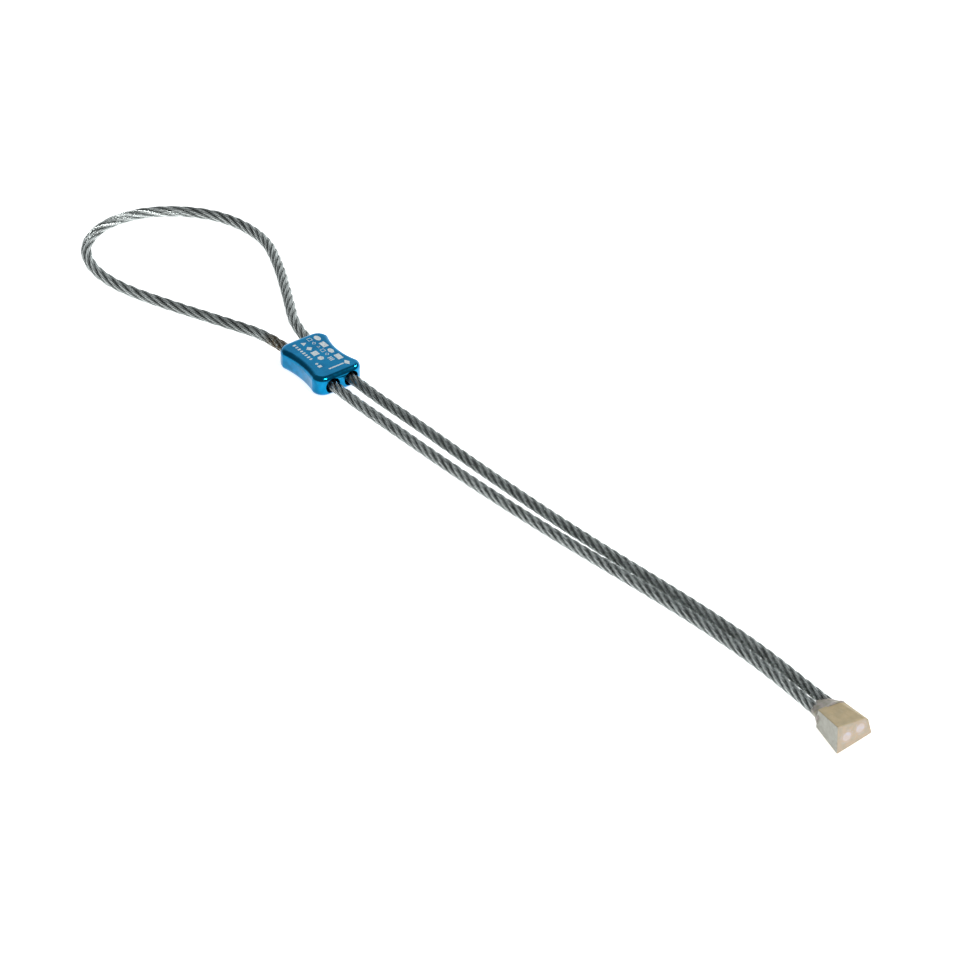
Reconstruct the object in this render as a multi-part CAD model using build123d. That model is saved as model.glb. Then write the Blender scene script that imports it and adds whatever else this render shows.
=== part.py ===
"""Wired climbing nut: a small offset brass wedge on a loop of 2 mm wire rope.

Frame: +X from the clip-in loop to the wedge, +Z up from the surface that the nut lies on,
origin at the middle of the bounding box's bottom. Millimetres.
"""

from build123d import *
from math import radians, tan
import os

# Wire rope: one unbroken piece, from one bore of the wedge round the clip-in loop to the other.
CABLE_D = 2.0
CABLE_R = CABLE_D / 2
ROUTE = [
    # far end of the lower leg, inside the wedge
    (96.74, -7.87, 2.80),
    (85.84, -6.34, 2.70),
    # lower leg
    (73.40, -5.06, 2.49),
    (61.00, -4.87, 2.42),
    (49.00, -5.33, 2.38),
    (36.50, -6.10, 2.34),
    (21.00, -6.90, 2.30),
    (3.33, -7.17, 2.20),
    (-12.67, -6.82, 2.05),
    # straight through the sleeve
    (-26.57, -6.58, 1.90),
    (-47.57, -4.69, 1.90),
    # clip-in loop
    (-57.67, -7.95, 1.60),
    (-68.67, -11.67, 1.30),
    (-78.67, -14.57, 1.10),
    (-86.97, -14.57, 1.02),
    (-93.67, -11.27, 1.02),
    (-97.07, -4.47, 1.02),
    (-95.77, 3.33, 1.02),
    (-90.77, 9.83, 1.02),
    (-83.67, 14.13, 1.04),
    (-74.17, 14.83, 1.10),
    (-65.67, 10.93, 1.30),
    (-56.87, 5.73, 1.60),
    # straight back through the sleeve
    (-46.17, -0.98, 1.90),
    (-25.17, -2.87, 1.90),
    # upper leg
    (-12.17, -2.97, 2.05),
    (4.33, -3.62, 2.30),
    (21.00, -3.97, 2.54),
    (36.50, -3.74, 2.69),
    (49.00, -3.24, 2.80),
    (61.00, -2.90, 2.92),
    (73.60, -3.09, 3.02),
    # far end of the upper leg, inside the wedge
    (86.07, -4.30, 3.09),
    (97.03, -5.27, 3.30),
]
LOWER_SLEEVE_RUN = (9, 10)
UPPER_SLEEVE_RUN = (24, 23)
ARC_SHARE = 0.45

# Sleeve: an anodised block that was crimped on, so its long sides are drawn in at the middle.
SLEEVE_LENGTH = 13.4
SLEEVE_WIDTH = 9.6
LOWER_SIDE_PINCH = 0.55
UPPER_SIDE_PINCH = 0.85
SLEEVE_THICKNESS = 3.8
SLEEVE_CORNER_R = 2.2
SLEEVE_EDGE_R = 0.95
CRIMPED_LENGTH = 4.4
FLARE_R = 1.26
MOUTH_R = 1.45
MOUTH_DEPTH = 0.6

# Wedge: its section at each end, as corners across (v) and up (w) from between the bores.
WEDGE_LENGTH = 6.2
WIDE_END = [(-3.70, -2.38), (3.35, -2.55), (3.15, 0.60), (2.50, 1.40), (-2.75, 3.05)]
NARROW_END = [(-2.95, -1.30), (2.95, -1.35), (2.90, 0.45), (1.80, 1.20), (-2.00, 2.00)]
WEDGE_EDGE_R = 0.18
BORE_R = 1.06

# Solder: a film round each cable end with a cap over it, and a collar at the narrow end.
CAP_DEPTH = 0.35
COLLAR_LENGTH = 1.8
COLLAR_BASE_R = 1.4
COLLAR_TIP_R = 1.07
COLLAR_SPACING = 2.3

# How far a cutting shape runs on past the face that it opens.
CUT_OVERRUN = 1.0


def cable_radii(points):
    """One arc radius per inner point: as large as the two runs beside it allow."""
    radii = []
    for before, here, after in zip(points, points[1:], points[2:]):
        run_in = Vector(*here) - Vector(*before)
        run_out = Vector(*after) - Vector(*here)
        half_turn = radians(run_in.get_angle(run_out)) / 2
        shorter = min(run_in.length, run_out.length)
        radii.append(ARC_SHARE * shorter / tan(half_turn))
    return radii


def wire_cable():
    """The whole rope as one plain round tube along its route."""
    radii = cable_radii(ROUTE)
    path = FilletPolyline(*ROUTE, radius=radii)
    start = Plane(origin=path @ 0, z_dir=path % 0)
    cable = sweep(start * Circle(CABLE_R), path=path)
    expected = Circle(CABLE_R).area * path.length
    print("cable radii", [round(radius, 1) for radius in radii])
    print("cable length", round(path.length, 2), "volume ratio", cable.volume / expected)
    return cable


def sleeve_plane():
    """Middle of the sleeve, X along its bores towards the wedge, Z up."""
    ends = [Vector(*ROUTE[i]) for i in (*LOWER_SLEEVE_RUN, *UPPER_SLEEVE_RUN)]
    middle = (ends[0] + ends[1] + ends[2] + ends[3]) * 0.25
    along = ends[0] - ends[1]
    return Plane(origin=middle, x_dir=along, z_dir=(0, 0, 1))


def sleeve_bore(side):
    """Space of one bore in the sleeve's own plane: crimped tight in the middle, flared out."""
    half = SLEEVE_LENGTH / 2
    tight = CRIMPED_LENGTH / 2
    profile = Polyline(
        (0, 0),
        (0, CABLE_R),
        (tight, CABLE_R),
        (half - MOUTH_DEPTH, FLARE_R),
        (half, MOUTH_R),
        (half + CUT_OVERRUN, MOUTH_R),
        (half + CUT_OVERRUN, 0),
        close=True,
    )
    flare = revolve(make_face(profile), Axis.X)
    space = flare + mirror(flare, Plane.YZ)
    return Pos(0, side * sleeve_spacing() / 2, 0) * space


def sleeve_spacing():
    """Distance between the two bores' axes."""
    frame = sleeve_plane()
    lower = frame.to_local_coords(Vector(*ROUTE[LOWER_SLEEVE_RUN[0]]))
    upper = frame.to_local_coords(Vector(*ROUTE[UPPER_SLEEVE_RUN[0]]))
    return upper.Y - lower.Y


def swage_sleeve():
    """Rounded block with a waist and two flared bores."""
    half = SLEEVE_LENGTH / 2
    side = SLEEVE_WIDTH / 2
    flat_x = half - SLEEVE_CORNER_R
    flat_y = side - SLEEVE_CORNER_R
    with BuildPart() as block:
        with BuildSketch(Plane.XY.offset(-SLEEVE_THICKNESS / 2)):
            with BuildLine():
                Line((half, -flat_y), (half, flat_y))
                RadiusArc((half, flat_y), (flat_x, side), -SLEEVE_CORNER_R)
                ThreePointArc((flat_x, side), (0, side - UPPER_SIDE_PINCH), (-flat_x, side))
                RadiusArc((-flat_x, side), (-half, flat_y), -SLEEVE_CORNER_R)
                Line((-half, flat_y), (-half, -flat_y))
                RadiusArc((-half, -flat_y), (-flat_x, -side), -SLEEVE_CORNER_R)
                ThreePointArc((-flat_x, -side), (0, LOWER_SIDE_PINCH - side), (flat_x, -side))
                RadiusArc((flat_x, -side), (half, -flat_y), -SLEEVE_CORNER_R)
            make_face()
        extrude(amount=SLEEVE_THICKNESS)
        top = block.faces().sort_by(Axis.Z)[-1].edges()
        bottom = block.faces().sort_by(Axis.Z)[0].edges()
        fillet([*top, *bottom], SLEEVE_EDGE_R)
    sleeve = block.part - sleeve_bore(1) - sleeve_bore(-1)
    return sleeve_plane().location * sleeve


def cable_end(side):
    """One end of the cable: where it stops in the wedge, and the way that it points there."""
    tip, behind = (ROUTE[0], ROUTE[1]) if side < 0 else (ROUTE[-1], ROUTE[-2])
    return Vector(*tip), (Vector(*tip) - Vector(*behind)).normalized()


def wedge_plane():
    """Between the bores at the wide end's face: X across to the upper leg, Z out of the end."""
    lower, lower_way = cable_end(-1)
    upper, upper_way = cable_end(1)
    out = (lower_way + upper_way).normalized()
    return Plane(origin=(lower + upper) * 0.5 + out * CAP_DEPTH, x_dir=upper - lower, z_dir=out)


def solid_wedge():
    """Offset wedge before its bores: it tapers towards the cable and from side to side."""
    wide = wedge_section(WIDE_END)
    narrow = Pos(0, 0, -WEDGE_LENGTH) * wedge_section(NARROW_END)
    wedge = loft([narrow, wide])
    return wedge_plane().location * fillet(wedge.edges(), WEDGE_EDGE_R)


def wedge_section(corners):
    """Flat outline of the wedge from its corners, with w measured upwards."""
    return make_face(Polyline(*[(v, wedge_up() * w) for v, w in corners], close=True))


def wedge_up():
    """1 if the wedge plane's second axis points up, and -1 if it points down."""
    return 1 if wedge_plane().y_dir.Z > 0 else -1


def wedge_bore(side):
    """Round bar along one end of the cable, longer than the wedge at both ends."""
    tip, way = cable_end(side)
    start = tip - way * (WEDGE_LENGTH + CUT_OVERRUN)
    length = WEDGE_LENGTH + CAP_DEPTH + 2 * CUT_OVERRUN
    bar = Cylinder(BORE_R, length, align=(Align.CENTER, Align.CENTER, Align.MIN))
    return Plane(origin=start, z_dir=way).location * bar


def head_block():
    """The wedge with its two bores, which draw together towards the cable."""
    return solid_wedge() - wedge_bore(-1) - wedge_bore(1)


def solder_fill(side, cable):
    """Solder in one bore: a film round the cable, and a cap flush with the wide end."""
    return (solid_wedge() & wedge_bore(side)) - cable


def solder_collar(cable):
    """Solder that has run up both cables from the narrow end and bridges them."""
    base = SlotCenterToCenter(COLLAR_SPACING, 2 * COLLAR_BASE_R)
    tip = SlotCenterToCenter(COLLAR_SPACING, 2 * COLLAR_TIP_R)
    collar = loft(
        [
            Pos(0, 0, -WEDGE_LENGTH - COLLAR_LENGTH) * tip,
            Pos(0, 0, -WEDGE_LENGTH) * base,
        ]
    )
    return wedge_plane().location * collar - cable


def main():
    os.makedirs("parts", exist_ok=True)
    cable = wire_cable()
    parts = {
        "wire_cable": cable,
        "swage_sleeve": swage_sleeve(),
        "head_block": head_block(),
        "solder_fill_lower": solder_fill(-1, cable),
        "solder_fill_upper": solder_fill(1, cable),
        "solder_collar": solder_collar(cable),
    }
    for node, shape in parts.items():
        export_step(shape, f"parts/{node}.step")
    box = Compound(children=list(parts.values())).bounding_box()
    print("box", box.min, box.max)


main()
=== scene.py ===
"""Wired climbing nut: rope, sleeve, wedge and solder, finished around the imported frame.

Metres, in the frame's own axes: +X from the clip-in loop to the wedge, +Z up from the surface.
"""

from bisect import bisect_right
from math import atan2, copysign, cos, exp, pi, radians, sin, sqrt

import bmesh
import bpy
from bpy.props import FloatProperty, FloatVectorProperty, IntProperty, PointerProperty
from mathutils import Matrix, Vector, noise
from mathutils.kdtree import KDTree


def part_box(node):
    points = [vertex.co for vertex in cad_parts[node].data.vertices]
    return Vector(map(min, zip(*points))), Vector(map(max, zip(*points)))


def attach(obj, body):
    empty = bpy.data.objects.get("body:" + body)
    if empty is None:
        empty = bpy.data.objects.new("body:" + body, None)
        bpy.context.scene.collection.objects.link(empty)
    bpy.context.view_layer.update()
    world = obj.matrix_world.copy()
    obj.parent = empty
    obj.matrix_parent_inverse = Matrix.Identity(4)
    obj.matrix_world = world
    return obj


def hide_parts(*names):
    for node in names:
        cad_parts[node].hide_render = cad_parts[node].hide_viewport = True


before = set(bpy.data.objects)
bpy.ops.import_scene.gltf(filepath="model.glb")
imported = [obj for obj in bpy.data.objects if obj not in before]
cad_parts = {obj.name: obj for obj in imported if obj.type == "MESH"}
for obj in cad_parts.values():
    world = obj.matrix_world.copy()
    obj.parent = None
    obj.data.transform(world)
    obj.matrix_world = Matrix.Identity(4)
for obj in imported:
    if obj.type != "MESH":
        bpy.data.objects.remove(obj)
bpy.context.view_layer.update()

bl_info = {
    "name": "Wired climbing nut",
    "version": (1, 0, 0),
    "blender": (4, 5, 0),
    "location": "3D View > Sidebar > Nut",
    "description": "Makes a wired climbing nut's rope, sleeve, wedge and solder around its frame",
    "category": "Add Mesh",
}

MM = 0.001
BODY = "root"

# The rope's route: the frame's own points, from the wedge round the clip-in loop and back.
ROUTE = [
    # far end of the lower leg, inside the wedge
    (0.09674, -0.00787, 0.00280),
    (0.08584, -0.00634, 0.00270),
    # lower leg
    (0.07340, -0.00506, 0.00249),
    (0.06100, -0.00487, 0.00242),
    (0.04900, -0.00533, 0.00238),
    (0.03650, -0.00610, 0.00234),
    (0.02100, -0.00690, 0.00230),
    (0.00333, -0.00717, 0.00220),
    (-0.01267, -0.00682, 0.00205),
    # straight through the sleeve
    (-0.02657, -0.00658, 0.00190),
    (-0.04757, -0.00469, 0.00190),
    # clip-in loop
    (-0.05767, -0.00795, 0.00160),
    (-0.06867, -0.01167, 0.00130),
    (-0.07867, -0.01457, 0.00110),
    (-0.08697, -0.01457, 0.00102),
    (-0.09367, -0.01127, 0.00102),
    (-0.09707, -0.00447, 0.00102),
    (-0.09577, 0.00333, 0.00102),
    (-0.09077, 0.00983, 0.00102),
    (-0.08367, 0.01413, 0.00104),
    (-0.07417, 0.01483, 0.00110),
    (-0.06567, 0.01093, 0.00130),
    (-0.05687, 0.00573, 0.00160),
    # straight back through the sleeve
    (-0.04617, -0.00098, 0.00190),
    (-0.02517, -0.00287, 0.00190),
    # upper leg
    (-0.01217, -0.00297, 0.00205),
    (0.00433, -0.00362, 0.00230),
    (0.02100, -0.00397, 0.00254),
    (0.03650, -0.00374, 0.00269),
    (0.04900, -0.00324, 0.00280),
    (0.06100, -0.00290, 0.00292),
    (0.07360, -0.00309, 0.00302),
    # far end of the upper leg, inside the wedge
    (0.08607, -0.00430, 0.00309),
    (0.09703, -0.00527, 0.00330),
]

# the route's points at the ends of the two straight runs through the sleeve
LOWER_SLEEVE_RUN = (9, 10)
UPPER_SLEEVE_RUN = (23, 24)

# How far apart the strands' crests lie, by the distance along the rope, both in millimetres.
CREST_SPACING = [
    (0.0, 2.45),
    (20.0, 2.45),
    (45.0, 2.24),
    (120.0, 2.23),
    (145.0, 2.50),
    (178.0, 2.60),
    (200.0, 2.92),
    (215.0, 2.88),
    (232.0, 2.12),
    (262.0, 2.38),
    (285.0, 2.25),
    (360.0, 2.20),
    (390.0, 2.42),
    (410.0, 2.42),
]
LINE_STEP = 0.5 * MM        # between two rings of a wire's tube
WIRE_ROUNDNESS = 2          # bevel resolution of a wire's tube, and of the core's
WIRES_ACROSS = 9            # wires side by side across the rope: three in each of three strands


# ---------------------------------------------------------------- sizes and colours

class NutStageSettings(bpy.types.PropertyGroup):
    """Camera, floor and lights."""

    lens: FloatProperty(name="Lens", description="Focal length of the camera", default=188.285,
                        unit="CAMERA")
    camera_place: FloatVectorProperty(name="Camera", description="Where the camera stands",
                                      default=(0.51595, -0.45007, 0.49311), subtype="XYZ",
                                      unit="LENGTH")
    camera_target: FloatVectorProperty(name="Target", description="What the camera points at",
                                       default=(0.00478, -0.00359, 0.0), subtype="XYZ",
                                       unit="LENGTH")
    floor_colour: FloatVectorProperty(name="Floor", description="Colour of the floor",
                                      default=(0.93, 0.93, 0.93), subtype="COLOR")
    floor_glow: FloatProperty(name="Floor glow", description="Light that comes up from the floor",
                              default=0.86, subtype="FACTOR")


class NutRopeSettings(bpy.types.PropertyGroup):
    """The stranded wire rope."""

    diameter: FloatProperty(name="Rope diameter", description="Outside diameter of the rope",
                            default=2.0 * MM, unit="LENGTH")
    strands: IntProperty(name="Strands", description="Outer strands round the core", default=6,
                         subtype="UNSIGNED")
    wires: IntProperty(name="Wires", description="Outer wires in a strand", default=6,
                         subtype="UNSIGNED")
    wire_lay: FloatProperty(name="Wire lay", description="Length of one turn of a strand's wires",
                            default=20.0 * MM, unit="LENGTH")
    start_turn: FloatProperty(name="Start turn", description="Turn of the strands at the start",
                              default=0.0, unit="ROTATION")
    bright: FloatVectorProperty(name="Bright steel", description="Colour of a clean wire",
                                default=(0.55, 0.59, 0.58), subtype="COLOR")
    dull: FloatVectorProperty(name="Dull steel", description="Colour of a dull wire",
                              default=(0.34, 0.365, 0.355), subtype="COLOR")
    # painted highlight, partly rubbed metal: the pale colour on a strand's crest
    worn_and_highlit: FloatVectorProperty(name="Worn steel", description="Colour of a strand's worn crest",
                              default=(0.80, 0.84, 0.82), subtype="COLOR")
    grime: FloatVectorProperty(name="Grime", description="Colour of the grime on the wires",
                               default=(0.20, 0.215, 0.205), subtype="COLOR")
    # painted shade: the dark colour deep between two strands
    gap: FloatVectorProperty(name="Gap", description="Colour deep between two strands",
                             default=(0.08, 0.088, 0.085), subtype="COLOR")


class NutSleeveSettings(bpy.types.PropertyGroup):
    """The crimped sleeve and its marks."""

    blue: FloatVectorProperty(name="Blue", description="Colour of the anodised surface",
                              default=(0.0, 0.265, 0.54), subtype="COLOR")
    deep_blue: FloatVectorProperty(name="Deep blue", description="Colour of the thicker dye",
                                   default=(0.0, 0.20, 0.43), subtype="COLOR")
    mark: FloatVectorProperty(name="Marks", description="Colour of the etched marks",
                              default=(0.84, 0.90, 0.92), subtype="COLOR")
    mark_height: FloatProperty(name="Mark height", description="How proud the marks stand",
                               default=0.012 * MM, unit="LENGTH")


class NutHeadSettings(bpy.types.PropertyGroup):
    """The wedge and its solder."""

    brass: FloatVectorProperty(name="Brass", description="Colour of the filed brass",
                               default=(0.53, 0.42, 0.245), subtype="COLOR")
    # painted reflection: the light grey put on the wedge's near side
    tin_and_reflection: FloatVectorProperty(name="Tinned", description="Colour of the tinned side",
                                default=(0.43, 0.43, 0.375), subtype="COLOR")
    end_tan: FloatVectorProperty(name="End", description="Colour of the wide end",
                                 default=(0.49, 0.38, 0.27), subtype="COLOR")
    solder: FloatVectorProperty(name="Solder", description="Colour of the silver solder",
                                default=(0.53, 0.50, 0.54), subtype="COLOR")


# ---------------------------------------------------------------- directions and places

WEDGE_LENGTH = 6.2 * MM
CAP_DEPTH = 0.35 * MM       # from the rope's ends to the wedge's wide end


class WedgeAxes:
    """The wedge's own axes, from the two ends of the rope that it holds."""

    lower = Vector(ROUTE[0])
    upper = Vector(ROUTE[-1])
    lower_way = (lower - Vector(ROUTE[1])).normalized()
    upper_way = (upper - Vector(ROUTE[-2])).normalized()
    out = (lower_way + upper_way).normalized()
    middle = (lower + upper) / 2 + out * CAP_DEPTH
    across = (upper - lower - out * (upper - lower).dot(out)).normalized()
    up = across.cross(-out)


class SleeveAxes:
    """The sleeve's own axes, from the two straight runs that it holds."""

    corners = [Vector(ROUTE[i]) for i in (*LOWER_SLEEVE_RUN, *UPPER_SLEEVE_RUN)]
    middle = sum(corners, Vector()) / 4
    along = (corners[0] - corners[1]).normalized()
    up = Vector((0, 0, 1))
    across = up.cross(along)
    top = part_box("swage_sleeve")[1][2]


def matrix_of(axes, origin):
    """Moves a shape from its own axes (along, across, up) to its place."""
    turn = Matrix((axes[0], axes[1], axes[2])).transposed().to_4x4()
    return Matrix.Translation(origin) @ turn


# ---------------------------------------------------------------- small helpers

def mesh_object(name, bm, material, smooth=True):
    """A new piece from a bmesh, which it uses up."""
    mesh = bpy.data.meshes.new(name)
    bm.to_mesh(mesh)
    bm.free()
    return shown(name, mesh, material, smooth)


def shown(name, mesh, material, smooth=True):
    """A new piece from a mesh, with its one material."""
    mesh.name = name
    mesh.materials.clear()
    mesh.materials.append(material)
    for face in mesh.polygons:
        face.use_smooth = smooth
    piece = bpy.data.objects.new(name, mesh)
    bpy.context.scene.collection.objects.link(piece)
    return piece


def finish_piece(piece):
    """Fixes a new piece to the part's only body."""
    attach(piece, BODY)


def dress_node(node, material):
    """Gives a frame node a better material."""
    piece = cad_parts[node]
    piece.data.materials.clear()
    piece.data.materials.append(material)


# ---------------------------------------------------------------- materials

# the second colours of each material, for its clouds, stains, painted shade and painted reflection
FLUX_BROWN = (0.16, 0.115, 0.06)
TINNED_STEEL = (0.34, 0.32, 0.29)
SHADED_BLUE = (0.0, 0.13, 0.27)
WORN_MARK = (0.50, 0.60, 0.66)
DARK_BRASS = (0.45, 0.37, 0.225)
DARK_SIDE_REFLECTION = (0.34, 0.33, 0.28)
DARK_TAN = (0.42, 0.37, 0.28)
BRASS_SPECK = (0.24, 0.18, 0.10)
PINK_SOLDER = (0.56, 0.47, 0.42)
COLLAR_PINK = (0.42, 0.37, 0.35)
COLLAR_OLIVE = (0.30, 0.29, 0.23)
FLUX_OLIVE = (0.42, 0.40, 0.26)
LAMP_WHITE = (0.98, 0.99, 1.0, 1.0)
SKY_WHITE = (0.94, 0.98, 1.0, 1.0)


def map_range(tree, value, low, high, to_low, to_high):
    """A smooth step from one range of numbers to another, in any node tree."""
    node = tree.nodes.new("ShaderNodeMapRange")
    node.interpolation_type = "SMOOTHSTEP"
    tree.links.new(value, node.inputs["Value"])
    for name, number in zip(("From Min", "From Max", "To Min", "To Max"),
                            (low, high, to_low, to_high)):
        node.inputs[name].default_value = number
    return node.outputs["Result"]


class Finish:
    """A material's node tree, with short ways to add to it."""

    def __init__(self, name, metallic, roughness):
        self.material = bpy.data.materials.new(name)
        self.material.use_nodes = True
        self.tree = self.material.node_tree
        self.shader = self.tree.nodes["Principled BSDF"]
        self.shader.inputs["Metallic"].default_value = metallic
        self.shader.inputs["Roughness"].default_value = roughness
        self.place = self.tree.nodes.new("ShaderNodeTexCoord").outputs["Object"]

    def link(self, value, socket):
        if isinstance(value, bpy.types.NodeSocket):
            self.tree.links.new(value, socket)
        else:
            socket.default_value = value

    def stretched(self, scale, turn):
        """Object coordinates, turned and stretched."""
        node = self.tree.nodes.new("ShaderNodeMapping")
        node.vector_type = "POINT"
        self.link(self.place, node.inputs["Vector"])
        node.inputs["Rotation"].default_value = turn
        node.inputs["Scale"].default_value = scale
        return node.outputs["Vector"]

    def noise(self, size, detail=3.0, rough=0.55, vector=None):
        """Noise with features of about that size, in metres."""
        node = self.tree.nodes.new("ShaderNodeTexNoise")
        self.link(vector or self.place, node.inputs["Vector"])
        node.inputs["Scale"].default_value = 1.0 / size
        node.inputs["Detail"].default_value = detail
        node.inputs["Roughness"].default_value = rough
        return node.outputs["Fac"]

    def ranged(self, value, low, high, to_low=0.0, to_high=1.0):
        """A smooth step from one range of numbers to another."""
        return map_range(self.tree, value, low, high, to_low, to_high)

    def maths(self, operation, first, second):
        node = self.tree.nodes.new("ShaderNodeMath")
        node.operation = operation
        self.link(first, node.inputs[0])
        self.link(second, node.inputs[1])
        return node.outputs["Value"]

    def mixed(self, factor, first, second):
        """The first colour where the factor is 0, and the second where it is 1."""
        node = self.tree.nodes.new("ShaderNodeMix")
        node.data_type = "RGBA"
        self.link(factor, node.inputs["Factor"])
        self.link(self.colour(first), node.inputs[6])
        self.link(self.colour(second), node.inputs[7])
        return node.outputs[2]

    @staticmethod
    def colour(value):
        if isinstance(value, bpy.types.NodeSocket):
            return value
        return (value[0], value[1], value[2], 1.0)

    def nearness(self, point, inner, outer):
        """1 within inner of a point, falling to 0 at outer."""
        node = self.tree.nodes.new("ShaderNodeVectorMath")
        node.operation = "DISTANCE"
        self.link(self.place, node.inputs[0])
        node.inputs[1].default_value = point
        return self.ranged(node.outputs["Value"], inner, outer, 1.0, 0.0)

    def facing(self, direction, low, high):
        """1 on faces that look in a direction, 0 on those that look away."""
        normal = self.tree.nodes.new("ShaderNodeNewGeometry").outputs["Normal"]
        node = self.tree.nodes.new("ShaderNodeVectorMath")
        node.operation = "DOT_PRODUCT"
        self.link(normal, node.inputs[0])
        node.inputs[1].default_value = direction
        return self.ranged(node.outputs["Value"], low, high)

    def stored(self, name):
        """A number stored on the piece's own points."""
        node = self.tree.nodes.new("ShaderNodeAttribute")
        node.attribute_name = name
        return node.outputs["Fac"]

    def height(self, value, depth, normal=None):
        """Bump from a height value; depth in metres."""
        node = self.tree.nodes.new("ShaderNodeBump")
        node.inputs["Strength"].default_value = 1.0
        node.inputs["Distance"].default_value = depth
        self.link(value, node.inputs["Height"])
        if normal is not None:
            self.link(normal, node.inputs["Normal"])
        return node.outputs["Normal"]

    def done(self, colour, roughness, normal):
        """Ties up the shader and hands over the material."""
        self.link(colour, self.shader.inputs["Base Color"])
        self.link(roughness, self.shader.inputs["Roughness"])
        self.link(normal, self.shader.inputs["Normal"])
        return self.material


def rope_steel(settings):
    """Drawn steel wire: bright crowns that are painted highlight and partly rubbed metal, painted
    shade between the strands, grime, a stain at one mouth.
    """
    steel = Finish("drawn_steel_wire", 1.0, 0.26)
    patches = steel.ranged(steel.noise(3.0 * MM, 4.0), 0.35, 0.68)
    colour = steel.mixed(patches, settings.bright, settings.dull)
    grime = steel.ranged(steel.noise(0.5 * MM, 5.0, 0.7), 0.50, 0.72, 0.0, 0.55)
    colour = steel.mixed(grime, colour, settings.grime)
    crown = steel.stored("crown")
    # painted highlight, partly rubbed metal: the strands' outermost crowns turn pale, less strongly
    # close to the sleeve
    near_sleeve = steel.nearness(SleeveAxes.middle, 12 * MM, 55 * MM)
    crest_strength = steel.ranged(near_sleeve, 0.0, 1.0, 1.0, 0.3)
    crest = steel.maths("MULTIPLY", steel.ranged(crown, 0.91, 0.985), crest_strength)
    colour = steel.mixed(crest, colour, settings.worn_and_highlit)
    # painted shade: deep between the strands the colour darkens towards the gap colour
    colour = steel.mixed(steel.ranged(crown, 0.52, 0.88, 0.88, 0.0), colour, settings.gap)
    stain_place = Vector(ROUTE[LOWER_SLEEVE_RUN[1]])
    stain_place += SleeveAxes.along * 2.2 * MM + SleeveAxes.across * -0.7 * MM
    stain = steel.nearness(stain_place, 1.2 * MM, 4.6 * MM)
    stain = steel.maths("MULTIPLY", stain, steel.ranged(steel.noise(0.6 * MM), 0.35, 0.6, 0.1, 0.9))
    colour = steel.mixed(stain, colour, FLUX_BROWN)
    tin_and_reflection = steel.nearness(WedgeAxes.middle - WedgeAxes.out * WEDGE_LENGTH, 2.2 * MM, 4.0 * MM)
    colour = steel.mixed(steel.maths("MULTIPLY", tin_and_reflection, 0.5), colour, TINNED_STEEL)
    rough = steel.ranged(steel.noise(0.9 * MM, 4.0), 0.3, 0.7, 0.18, 0.34)
    fine = steel.noise(0.06 * MM, 2.0)
    return steel.done(colour, rough, steel.height(fine, 0.004 * MM))


def anodised(settings):
    """Blue anodised aluminium, a little mottled, with painted shade on the near side and fine draw
    marks along the sleeve.
    """
    blue = Finish("blue_anodised", 1.0, 0.2)
    yaw = SleeveAxes.along.to_2d().angle_signed(Vector((1, 0)))
    dye = blue.ranged(blue.noise(2.4 * MM, 4.0), 0.3, 0.7)
    colour = blue.mixed(dye, settings.blue, settings.deep_blue)
    # painted shade: faces that look to the near side darken towards the shaded blue
    near = blue.maths("MULTIPLY", blue.facing(-SleeveAxes.across, 0.35, 0.9),
                      blue.ranged(blue.noise(1.1 * MM, 3.0), 0.3, 0.7, 0.35, 0.9))
    colour = blue.mixed(near, colour, SHADED_BLUE)
    lines = blue.noise(0.18 * MM, 3.0, 0.6,
                       blue.stretched(scale=(0.12, 1.0, 1.0), turn=(0, 0, yaw)))
    rough = blue.ranged(blue.noise(0.7 * MM, 4.0), 0.3, 0.7, 0.13, 0.22)
    normal = blue.height(lines, 0.004 * MM)
    normal = blue.height(blue.noise(0.9 * MM, 2.0), 0.012 * MM, normal)
    blue.shader.inputs["Coat Weight"].default_value = 0.14
    blue.shader.inputs["Coat Roughness"].default_value = 0.12
    return blue.done(colour, rough, normal)


def etched_mark(settings):
    """Pale etched aluminium, a little uneven."""
    pale = Finish("etched_mark", 0.35, 0.5)
    worn_and_highlit = pale.ranged(pale.noise(0.35 * MM, 4.0, 0.65), 0.38, 0.75)
    colour = pale.mixed(worn_and_highlit, settings.mark, WORN_MARK)
    rough = pale.ranged(pale.noise(0.3 * MM, 3.0), 0.3, 0.7, 0.42, 0.62)
    return pale.done(colour, rough, pale.height(pale.noise(0.08 * MM), 0.006 * MM))


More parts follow.
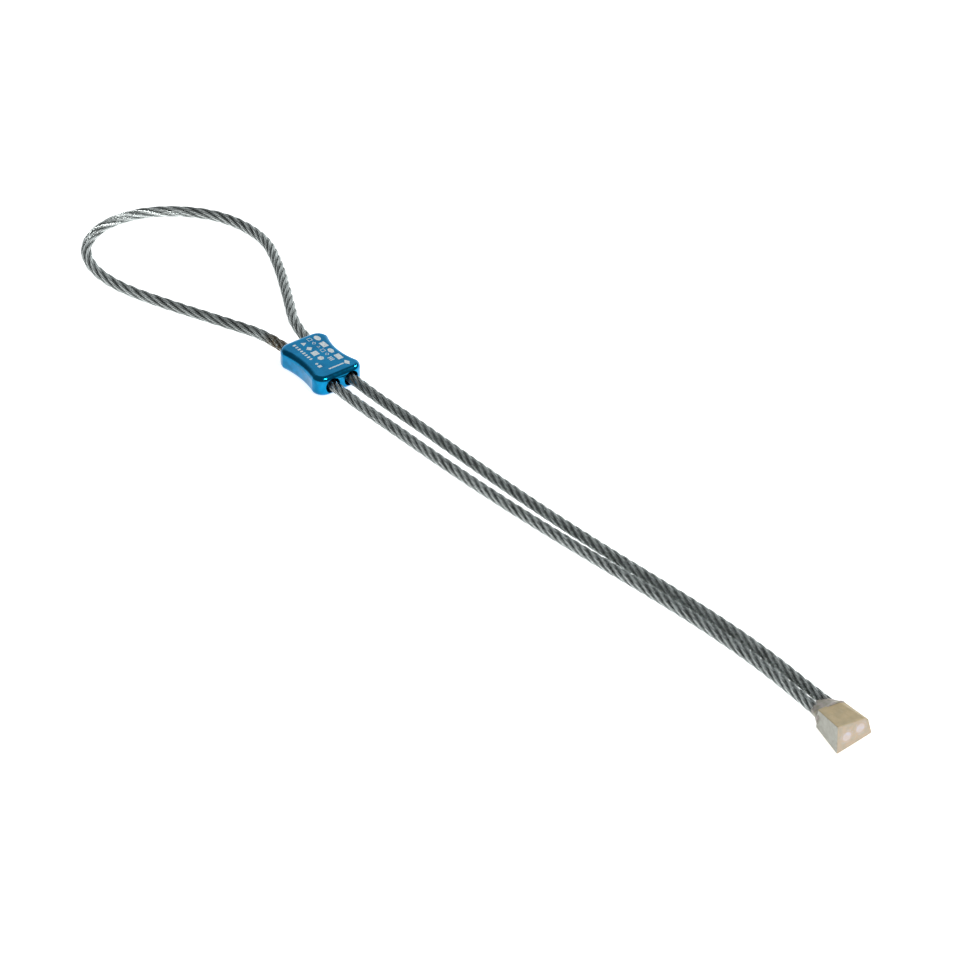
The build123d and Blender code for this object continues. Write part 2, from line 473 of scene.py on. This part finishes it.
def filed_brass(settings):
    """Tarnished brass: brown on top, a painted grey reflection on the near side, pinkish tan at the
    wide end.
    """
    brass = Finish("filed_brass", 0.2, 0.55)
    cloud = brass.ranged(brass.noise(1.6 * MM, 4.0), 0.3, 0.7)
    top = brass.mixed(cloud, settings.brass, DARK_BRASS)
    tin_and_reflection = brass.mixed(brass.ranged(brass.noise(0.8 * MM, 5.0, 0.65), 0.35, 0.7),
                         settings.tin_and_reflection, DARK_SIDE_REFLECTION)
    end = brass.mixed(brass.ranged(brass.noise(0.9 * MM, 5.0), 0.35, 0.7),
                      settings.end_tan, DARK_TAN)
    # painted reflection: faces that look to the near side turn light grey instead of brass
    side = brass.facing(-WedgeAxes.across, 0.55, 0.8)
    colour = brass.mixed(side, top, tin_and_reflection)
    colour = brass.mixed(brass.facing(WedgeAxes.out, 0.7, 0.93), colour, end)
    for where in (WedgeAxes.lower, WedgeAxes.upper):
        halo = brass.nearness(where + WedgeAxes.out * CAP_DEPTH, 1.0 * MM, 1.5 * MM)
        halo = brass.maths("MULTIPLY", halo,
                           brass.ranged(brass.noise(0.45 * MM), 0.42, 0.68, 0.0, 0.6))
        colour = brass.mixed(halo, colour, settings.solder)
    speck = brass.ranged(brass.noise(0.22 * MM, 3.0, 0.7), 0.66, 0.78, 0.0, 0.55)
    colour = brass.mixed(speck, colour, BRASS_SPECK)
    rough = brass.ranged(brass.noise(0.6 * MM, 4.0), 0.3, 0.7, 0.42, 0.6)
    normal = brass.height(brass.noise(0.9 * MM, 3.0), 0.06 * MM)
    normal = brass.height(brass.noise(0.14 * MM, 3.0), 0.012 * MM, normal)
    return brass.done(colour, rough, normal)


def silver_solder(settings):
    """Dull grey-lilac solder, darker and stained with flux towards the rope."""
    solder = Finish("silver_solder", 0.4, 0.45)
    cloud = solder.ranged(solder.noise(0.8 * MM, 4.0), 0.35, 0.65)
    colour = solder.mixed(cloud, settings.solder, PINK_SOLDER)
    narrow_end = WedgeAxes.middle - WedgeAxes.out * WEDGE_LENGTH
    collar = solder.nearness(narrow_end - WedgeAxes.out * MM, 2.6 * MM, 4.2 * MM)
    dark = solder.mixed(solder.ranged(solder.noise(0.7 * MM, 4.0), 0.35, 0.65),
                        COLLAR_PINK, COLLAR_OLIVE)
    colour = solder.mixed(collar, colour, dark)
    flux = solder.ranged(solder.noise(1.3 * MM, 3.0), 0.55, 0.7, 0.0, 0.6)
    colour = solder.mixed(solder.maths("MULTIPLY", flux, collar), colour, FLUX_OLIVE)
    for where in (WedgeAxes.lower, WedgeAxes.upper):
        cap = solder.nearness(where + WedgeAxes.out * CAP_DEPTH, 0.0, 1.25 * MM)
        rim = solder.maths("MULTIPLY", solder.ranged(cap, 0.0, 0.08),
                           solder.ranged(cap, 0.12, 0.45, 0.9, 0.0))
        colour = solder.mixed(rim, colour, settings.end_tan)
    rough = solder.ranged(solder.noise(0.5 * MM), 0.3, 0.7, 0.36, 0.55)
    return solder.done(colour, rough, solder.height(solder.noise(0.25 * MM, 3.0), 0.03 * MM))


def floor_finish(settings):
    """Plain pale light table: white acrylic with lamps under it."""
    table = Finish("pale_light_table", 0.0, 0.85)
    tone = tuple(settings.floor_colour)
    shade = tuple(channel * 0.985 for channel in tone)
    colour = table.mixed(table.noise(40 * MM, 2.0), tone, shade)
    table.shader.inputs["Emission Color"].default_value = LAMP_WHITE
    table.shader.inputs["Emission Strength"].default_value = settings.floor_glow
    return table.done(colour, 0.85, table.height(table.noise(0.4 * MM), 0.01 * MM))


# ---------------------------------------------------------------- the rope's line

def smooth_line(points):
    """The points along the route's smooth curve."""
    curve = bpy.data.curves.new("route", "CURVE")
    curve.dimensions = "3D"
    spline = curve.splines.new("NURBS")
    spline.points.add(len(points) - 1)
    for place, point in zip(spline.points, points):
        place.co = (*point, 1.0)
    spline.order_u = 3
    spline.use_endpoint_u = True
    spline.resolution_u = 24
    bare = bpy.data.objects.new("route", curve)
    mesh = bpy.data.meshes.new_from_object(bare)
    line = [vertex.co.copy() for vertex in mesh.vertices]
    bpy.data.meshes.remove(mesh)
    bpy.data.curves.remove(curve)
    return line


class RopeLine:
    """The rope's centre line in even steps, with a frame at each step that doesn't twist."""

    def __init__(self, points, step):
        along = [0.0]
        for here, there in zip(points, points[1:]):
            along.append(along[-1] + (there - here).length)
        self.length = along[-1]
        count = round(self.length / step)
        self.at = [self.length * i / count for i in range(count + 1)]
        self.places = [self.point(points, along, distance) for distance in self.at]
        self.turn_frames()

    @staticmethod
    def point(points, along, distance):
        i = min(max(bisect_right(along, distance), 1), len(along) - 1)
        share = (distance - along[i - 1]) / (along[i] - along[i - 1])
        return points[i - 1].lerp(points[i], min(max(share, 0.0), 1.0))

    def turn_frames(self):
        places = self.places
        ahead = places[1:] + places[-1:]
        behind = places[:1] + places[:-1]
        self.tangents = [(b - a).normalized() for a, b in zip(behind, ahead)]
        self.sides = []
        side = Vector((0, 0, 1))
        for tangent in self.tangents:
            side = (side - tangent * side.dot(tangent)).normalized()
            self.sides.append(side)

    def direction(self, i, angle):
        """Unit vector out of the rope's axis, turned right-handed about its tangent."""
        tangent, side = self.tangents[i], self.sides[i]
        return side * cos(angle) + tangent.cross(side) * sin(angle)


def crest_turns(line, strands):
    """How far the strands have turned at each step of the rope, in radians."""
    stations = [(where * MM, gap * MM) for where, gap in CREST_SPACING]
    turned, turns = 0.0, []
    before = 0.0
    for distance in line.at:
        gap = spacing_at(stations, distance)
        turned += (distance - before) / (gap * strands) * 2 * pi
        turns.append(turned)
        before = distance
    return turns


def spacing_at(stations, distance):
    """The crests' spacing at a distance along the rope, between its two stations."""
    for (low, first), (high, second) in zip(stations, stations[1:]):
        if distance <= high:
            return first + (second - first) * max(distance - low, 0.0) / (high - low)
    return stations[-1][1]


def wire_curve(name, tracks, radius):
    """One mesh of round wires, each along its own track of points."""
    curve = bpy.data.curves.new(name, "CURVE")
    curve.dimensions = "3D"
    curve.bevel_depth = radius
    curve.bevel_resolution = WIRE_ROUNDNESS
    curve.use_fill_caps = True
    for track in tracks:
        spline = curve.splines.new("POLY")
        spline.points.add(len(track) - 1)
        for place, point in zip(spline.points, track):
            place.co = (*point, 1.0)
    wire = bpy.data.objects.new(name, curve)
    mesh = bpy.data.meshes.new_from_object(wire)
    bpy.data.curves.remove(curve)
    return mesh


def store_crown(piece, line, radius):
    """Stores how far out each point lies: 0 on the rope's axis, 1 on its outside."""
    tree = KDTree(len(line.places))
    for i, place in enumerate(line.places):
        tree.insert(place, i)
    tree.balance()
    crown = piece.data.attributes.new("crown", "FLOAT", "POINT")
    for vertex, value in zip(piece.data.vertices, crown.data):
        place, i, _ = tree.find(vertex.co)
        off = vertex.co - place
        off -= line.tangents[i] * off.dot(line.tangents[i])
        value.value = off.length / radius


def strand_tracks(line, turns, settings, number):
    """The tracks of one strand's outer wires."""
    wire_width = settings.diameter / WIRES_ACROSS
    centre_radius = 3 * wire_width
    start = settings.start_turn + 2 * pi * number / settings.strands
    tracks = [[] for _ in range(settings.wires)]
    centres, outs = [], []
    for i, place in enumerate(line.places):
        out = line.direction(i, start + turns[i])
        centres.append(place + out * centre_radius)
        outs.append(out)
    for i, centre in enumerate(centres):
        before, after = centres[max(i - 1, 0)], centres[min(i + 1, len(centres) - 1)]
        tangent = (after - before).normalized()
        out = (outs[i] - tangent * outs[i].dot(tangent)).normalized()
        side = tangent.cross(out)
        own_turn = -2 * pi * line.at[i] / settings.wire_lay - turns[i]
        for k, track in enumerate(tracks):
            angle = own_turn + 2 * pi * k / settings.wires
            track.append(centre + (out * cos(angle) + side * sin(angle)) * wire_width)
    return tracks


# ---------------------------------------------------------------- operators

SENSOR_WIDTH = 36.0         # millimetres, as the camera counts it
CLIP_RANGE = (0.01, 20.0)


class NUT_OT_camera(bpy.types.Operator):
    """Set the camera that looks down along the nut"""

    bl_idname = "nut.camera"
    bl_label = "Camera"

    def execute(self, context):
        stage = context.scene.nut_stage
        lens = bpy.data.cameras.new("nut_camera")
        lens.lens = stage.lens
        lens.sensor_width = SENSOR_WIDTH
        lens.clip_start, lens.clip_end = CLIP_RANGE
        camera = bpy.data.objects.new("nut_camera", lens)
        context.scene.collection.objects.link(camera)
        aim(camera, Vector(stage.camera_place), Vector(stage.camera_target))
        context.scene.camera = camera
        return {"FINISHED"}


def aim(thing, place, target):
    """Puts a camera or lamp in its place, looking at the target."""
    thing.location = place
    thing.rotation_euler = (target - place).to_track_quat("-Z", "Y").to_euler()


class NUT_OT_rope(bpy.types.Operator):
    """Lay the wire rope's strands along its route"""

    bl_idname = "nut.rope"
    bl_label = "Wire rope"

    def execute(self, context):
        rope = context.scene.nut_rope
        steel = rope_steel(rope)
        line = RopeLine(smooth_line(ROUTE), LINE_STEP)
        turns = crest_turns(line, rope.strands)
        wire_radius = rope.diameter / (2 * WIRES_ACROSS)
        core = shown("rope_core", wire_curve("rope_core", [line.places], 3 * wire_radius), steel)
        finish_piece(core)
        for number in range(rope.strands):
            name = f"rope_strand_{number + 1}"
            tracks = strand_tracks(line, turns, rope, number)
            strand = shown(name, wire_curve(name, tracks, wire_radius), steel)
            store_crown(strand, line, rope.diameter / 2)
            finish_piece(strand)
        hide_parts("wire_cable")
        return {"FINISHED"}


# ---------------------------------------------------------------- marks and collar

# outline: number of corners, first turn in degrees
OUTLINES = {
    "square": (4, 45.0),
    "diamond": (4, 0.0),
    "triangle": (3, 0.0),
    "hexagon": (6, 0.0),
    "dot": (20, 0.0),
}

# outlines in order, first place along the sleeve, pitch, place across, how far the row bows in
# towards the middle, half length, half width, width of an open outline's line or 0; millimetres
MARK_ROWS = [
    (("dot", "square", "hexagon", "square", "diamond"),
     -4.5, 2.25, 2.85, 0.60, 0.80, 0.52, 0.0),
    (("square", "diamond", "triangle", "square", "diamond"),
     -4.9, 1.35, 1.15, 0.0, 0.42, 0.40, 0.13),
    (("triangle", "diamond", "square", "hexagon"),
     -4.4, 1.75, -0.45, 0.0, 0.62, 0.60, 0.0),
    (("square", "dot") * 4, -4.9, 0.72, -2.0, 0.0, 0.20, 0.30, 0.0),
    (("diamond", "square"), 1.9, 0.95, -2.0, 0.0, 0.32, 0.34, 0.0),
    (("square",), 4.4, 1.0, 0.35, 0.0, 0.15, 1.55, 0.0),
    (("square", "square", "square"), 1.6, 0.42, 0.9, 0.0, 0.11, 0.42, 0.0),
]
SLEEVE_HALF_LENGTH = 6.7    # millimetres
MARK_SINK = 0.004 * MM      # how deep a mark's underside lies in the sleeve

# the solder collar, from the wedge's narrow end; lengths in millimetres
COLLAR_LENGTH = 1.9
COLLAR_ROOT = 0.3           # how far it reaches into the wedge, against its length
COLLAR_HALF_SIZE = (2.16, 1.08)
COLLAR_FLARE = (0.60, 0.36)         # how much larger it is at the wedge, across and up
COLLAR_LIFT = 0.14          # how much higher it lies there
BRIDGE_LENGTH = 1.7         # how far the solder runs on between the two ropes
BRIDGE_HALF_WIDTH = 0.6
COLLAR_SEGMENTS = 36
COLLAR_CUTS = 7
LUMP_DEPTH = 0.09 * MM
LUMP_SIZE = 0.75 * MM


def add_marks(bm, row):
    """One row of flat outlines in the sleeve's own axes, from its middle."""
    outlines, along, pitch, across, bow, half_length, half_width, line = row
    for i, outline in enumerate(outlines):
        corners, turn = OUTLINES[outline]
        u = along + pitch * i
        v = across - bow * (1 - (u / SLEEVE_HALF_LENGTH) ** 2)
        reach = sqrt(2) if outline == "square" else 1.0
        place = Matrix.Translation((u * MM, v * MM, 0))
        size = Matrix.Diagonal((half_length * reach * MM, half_width * reach * MM, 1, 1))
        spin = Matrix.Rotation(radians(turn), 4, "Z")
        shape = bmesh.ops.create_circle(bm, cap_ends=True, segments=corners, radius=1.0,
                                        matrix=place @ size @ spin)
        if line:
            face = shape["verts"][0].link_faces[0]
            bmesh.ops.inset_individual(bm, faces=[face], thickness=line * MM)
            bmesh.ops.delete(bm, geom=[face], context="FACES_ONLY")


class NUT_OT_marks(bpy.types.Operator):
    """Lay rows of plain raised marks on top of the sleeve"""

    bl_idname = "nut.marks"
    bl_label = "Sleeve marks"

    def execute(self, context):
        sleeve = context.scene.nut_sleeve
        bm = bmesh.new()
        for row in MARK_ROWS:
            add_marks(bm, row)
        bmesh.ops.recalc_face_normals(bm, faces=bm.faces)
        bmesh.ops.solidify(bm, geom=bm.faces, thickness=-(sleeve.mark_height + MARK_SINK))
        bmesh.ops.recalc_face_normals(bm, faces=bm.faces)
        lowest = min(vertex.co.z for vertex in bm.verts)
        origin = SleeveAxes.middle.copy()
        origin.z = SleeveAxes.top - MARK_SINK - lowest
        axes = (SleeveAxes.along, SleeveAxes.across, SleeveAxes.up)
        bmesh.ops.transform(bm, matrix=matrix_of(axes, origin), verts=bm.verts)
        marks = mesh_object("sleeve_marks", bm, etched_mark(sleeve), smooth=False)
        finish_piece(marks)
        return {"FINISHED"}


def collar_point(spot, share):
    """A point of the collar in the wedge's axes: spot on the unit circle, share 1 at the tip."""
    flare = max(1 - share, 0.0) ** 1.7
    angle = atan2(spot.y, spot.x)
    half_width, half_height = (
        (size + more * flare) * MM for size, more in zip(COLLAR_HALF_SIZE, COLLAR_FLARE)
    )
    across = half_width * spot.length * signed_power(cos(angle), 0.8)
    between = exp(-(across / (BRIDGE_HALF_WIDTH * MM)) ** 2) * max(share, 0.0)
    saddle = 1 - 0.5 * between ** 2
    up = half_height * spot.length * sin(angle) * saddle + COLLAR_LIFT * MM * flare
    ragged = 0.20 * sin(3 * angle + 0.6) + 0.12 * sin(5 * angle + 2.0)
    run = share * (COLLAR_LENGTH + ragged * spot.length) + BRIDGE_LENGTH * between ** 2
    along = -WEDGE_LENGTH - run * MM
    return Vector((along, across, up))


def signed_power(value, power):
    """A power of a number's size, with the number's own sign."""
    return copysign(abs(value) ** power, value)


def swell(bm, depth, grain):
    """Pushes the points in and out a little, along their normals."""
    bm.normal_update()
    for vertex in bm.verts:
        vertex.co += vertex.normal * noise.noise(vertex.co / grain) * depth


class NUT_OT_collar(bpy.types.Operator):
    """Model the solder that has run up both ropes from the wedge"""

    bl_idname = "nut.collar"
    bl_label = "Solder collar"

    def execute(self, context):
        bm = bmesh.new()
        bmesh.ops.create_cone(bm, cap_ends=True, segments=COLLAR_SEGMENTS, radius1=1.0,
                              radius2=1.0, depth=1.0)
        ends = [face for face in bm.faces if len(face.verts) > 4]
        lengthwise = [edge for edge in bm.edges
                      if abs(edge.verts[0].co.z - edge.verts[1].co.z) > 0.5]
        bmesh.ops.poke(bm, faces=ends)
        bmesh.ops.subdivide_edges(bm, edges=lengthwise, cuts=COLLAR_CUTS, use_grid_fill=True)
        for vertex in bm.verts:
            share = (vertex.co.z + 0.5) * (1 + COLLAR_ROOT) - COLLAR_ROOT
            vertex.co = collar_point(vertex.co.to_2d(), share)
        bmesh.ops.recalc_face_normals(bm, faces=bm.faces)
        swell(bm, LUMP_DEPTH, LUMP_SIZE)
        axes = (WedgeAxes.out, WedgeAxes.across, WedgeAxes.up)
        bmesh.ops.transform(bm, matrix=matrix_of(axes, WedgeAxes.middle), verts=bm.verts)
        collar = mesh_object("solder_collar_run", bm, silver_solder(context.scene.nut_head))
        rounding = collar.modifiers.new("rounding", "SUBSURF")
        rounding.levels = rounding.render_levels = 1
        finish_piece(collar)
        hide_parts("solder_collar")
        return {"FINISHED"}


class NUT_OT_sleeve(bpy.types.Operator):
    """Finish the crimped sleeve in blue"""

    bl_idname = "nut.sleeve"
    bl_label = "Sleeve"

    def execute(self, context):
        dress_node("swage_sleeve", anodised(context.scene.nut_sleeve))
        return {"FINISHED"}


class NUT_OT_wedge(bpy.types.Operator):
    """Finish the brass wedge"""

    bl_idname = "nut.wedge"
    bl_label = "Wedge"

    def execute(self, context):
        dress_node("head_block", filed_brass(context.scene.nut_head))
        return {"FINISHED"}


class NUT_OT_solder(bpy.types.Operator):
    """Finish the solder in the bores"""

    bl_idname = "nut.solder"
    bl_label = "Solder"

    def execute(self, context):
        solder = silver_solder(context.scene.nut_head)
        for node in ("solder_fill_lower", "solder_fill_upper"):
            dress_node(node, solder)
        return {"FINISHED"}


# name, direction from the nut, size, watts
LAMPS = [
    ("top_lamp", (0.50, 0.00, 0.87), (0.26, 0.16), 5.5),
    ("far_lamp", (0.15, 0.70, 0.70), (0.18, 0.18), 4.2),
]
LAMP_DISTANCE = 1.2
BACKDROP = (-0.75, 0.66, 0.0)       # towards the bright backdrop
OVERHEAD_STRENGTH = 0.16            # of the studio overhead and behind the camera
FLOOR_HALF_WIDTH = 4.0


class NUT_OT_stage(bpy.types.Operator):
    """Lay the floor and set the lights"""

    bl_idname = "nut.stage"
    bl_label = "Stage"

    def execute(self, context):
        stage = context.scene.nut_stage
        bm = bmesh.new()
        bmesh.ops.create_grid(bm, x_segments=1, y_segments=1, size=FLOOR_HALF_WIDTH)
        floor = mesh_object("floor", bm, floor_finish(stage), smooth=False)
        for name, direction, size, watts in LAMPS:
            light = bpy.data.lights.new(name, "AREA")
            light.shape = "RECTANGLE"
            light.size, light.size_y = size
            light.energy = watts
            lamp = bpy.data.objects.new(name, light)
            context.scene.collection.objects.link(lamp)
            aim(lamp, Vector(direction).normalized() * LAMP_DISTANCE, Vector())
        world = bpy.data.worlds.new("studio")
        paint_world(world)
        context.scene.world = world
        context.scene.view_settings.view_transform = "Standard"
        return {"FINISHED"}


def paint_world(world):
    """A studio with a bright backdrop at the back and along the horizon, dark overhead."""
    world.use_nodes = True
    tree = world.node_tree
    place = tree.nodes.new("ShaderNodeTexCoord").outputs["Generated"]
    height = tree.nodes.new("ShaderNodeSeparateXYZ")
    tree.links.new(place, height.inputs[0])
    back = tree.nodes.new("ShaderNodeVectorMath")
    back.operation = "DOT_PRODUCT"
    tree.links.new(place, back.inputs[0])
    back.inputs[1].default_value = BACKDROP
    far_gap = map_range(tree, back.outputs["Value"], 0.50, 1.05, 1.0, 0.0)
    low_gap = map_range(tree, height.outputs["Z"], 0.04, 0.30, 0.0, 1.0)
    both = tree.nodes.new("ShaderNodeMath")
    both.operation = "MULTIPLY"
    tree.links.new(low_gap, both.inputs[0])
    tree.links.new(far_gap, both.inputs[1])
    sky = tree.nodes["Background"]
    sky.inputs["Color"].default_value = SKY_WHITE
    strength = map_range(tree, both.outputs[0], 0.0, 1.0, 1.0, OVERHEAD_STRENGTH)
    tree.links.new(strength, sky.inputs["Strength"])


class NUT_PT_panel(bpy.types.Panel):
    """The nut's pieces"""

    bl_idname = "NUT_PT_panel"
    bl_label = "Wired nut"
    bl_space_type = "VIEW_3D"
    bl_region_type = "UI"
    bl_category = "Nut"

    def draw(self, context):
        for operator in OPERATORS:
            self.layout.operator(operator.bl_idname)


SETTINGS = {
    "nut_stage": NutStageSettings,
    "nut_rope": NutRopeSettings,
    "nut_sleeve": NutSleeveSettings,
    "nut_head": NutHeadSettings,
}
OPERATORS = [
    NUT_OT_camera,
    NUT_OT_rope,
    NUT_OT_sleeve,
    NUT_OT_marks,
    NUT_OT_wedge,
    NUT_OT_solder,
    NUT_OT_collar,
    NUT_OT_stage,
]


def register():
    for name, settings in SETTINGS.items():
        bpy.utils.register_class(settings)
        setattr(bpy.types.Scene, name, PointerProperty(type=settings))
    for operator in OPERATORS:
        bpy.utils.register_class(operator)
    bpy.utils.register_class(NUT_PT_panel)


def unregister():
    bpy.utils.unregister_class(NUT_PT_panel)
    for operator in reversed(OPERATORS):
        bpy.utils.unregister_class(operator)
    for name, settings in reversed(SETTINGS.items()):
        delattr(bpy.types.Scene, name)
        bpy.utils.unregister_class(settings)


def main():
    register()
    bpy.ops.nut.camera()
    bpy.ops.nut.rope()
    bpy.ops.nut.sleeve()
    bpy.ops.nut.marks()
    bpy.ops.nut.wedge()
    bpy.ops.nut.solder()
    bpy.ops.nut.collar()
    bpy.ops.nut.stage()


if __name__ == "__main__":
    main()
